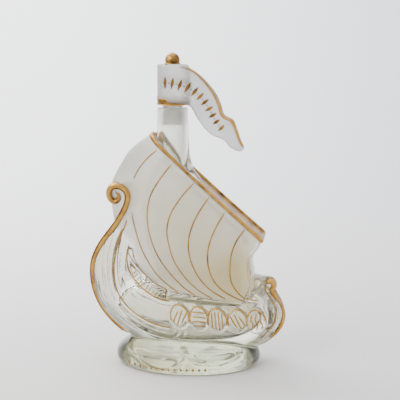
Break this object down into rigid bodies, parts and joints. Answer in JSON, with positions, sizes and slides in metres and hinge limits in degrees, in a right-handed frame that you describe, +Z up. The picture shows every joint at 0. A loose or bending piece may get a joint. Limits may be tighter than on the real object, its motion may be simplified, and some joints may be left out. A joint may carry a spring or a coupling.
{
  "type": "figural glass decanter",
  "caption": "Mould-blown glass decanter shaped as a sailing ship on an oval foot, with gilded rims and scrolls and a pennant stopper.",
  "frame": {"origin": "on the surface it stands on, under the middle of the bounding box", "axes": "+Z up along the neck; +X from the prow scroll to the stern scroll; -Y is the side the pennant's face is on"},
  "size_m": [0.1828, 0.0928, 0.288],
  "materials": {
    "clear_glass": "glossy clear mould-blown glass, faint grey-green tint, frosted with a warm beige tint on the sail",
    "frosted_glass": "satin, etched",
    "gilding": "fired gold, glossy, worn thin in places",
    "sleeve_plastic": "translucent soft plastic"
  },
  "bodies": {
    "bottle": {"bottle_glass": "clear_glass", "prow_scroll_gilding": "gilding", "stern_scroll_gilding": "gilding", "yard_rim_gilding": "gilding"},
    "sleeve": {"stopper_sleeve": "sleeve_plastic"},
    "pennant": {"pennant_head": "frosted_glass", "pennant_edge_gilding": "gilding", "collar_gilding": "gilding", "finial_knob": "gilding"}
  },
  "joints": [
    {"name": "stopper_lift", "type": "slide", "parent": "bottle", "child": "sleeve", "axis": [0, 0, 1], "range_m": [0, 0.04]},
    {"name": "stopper_turn", "type": "hinge", "parent": "sleeve", "child": "pennant", "pos_m": [-0.0136, 0, 0.232], "axis": [0, 0, 1], "continuous": true}
  ]
}
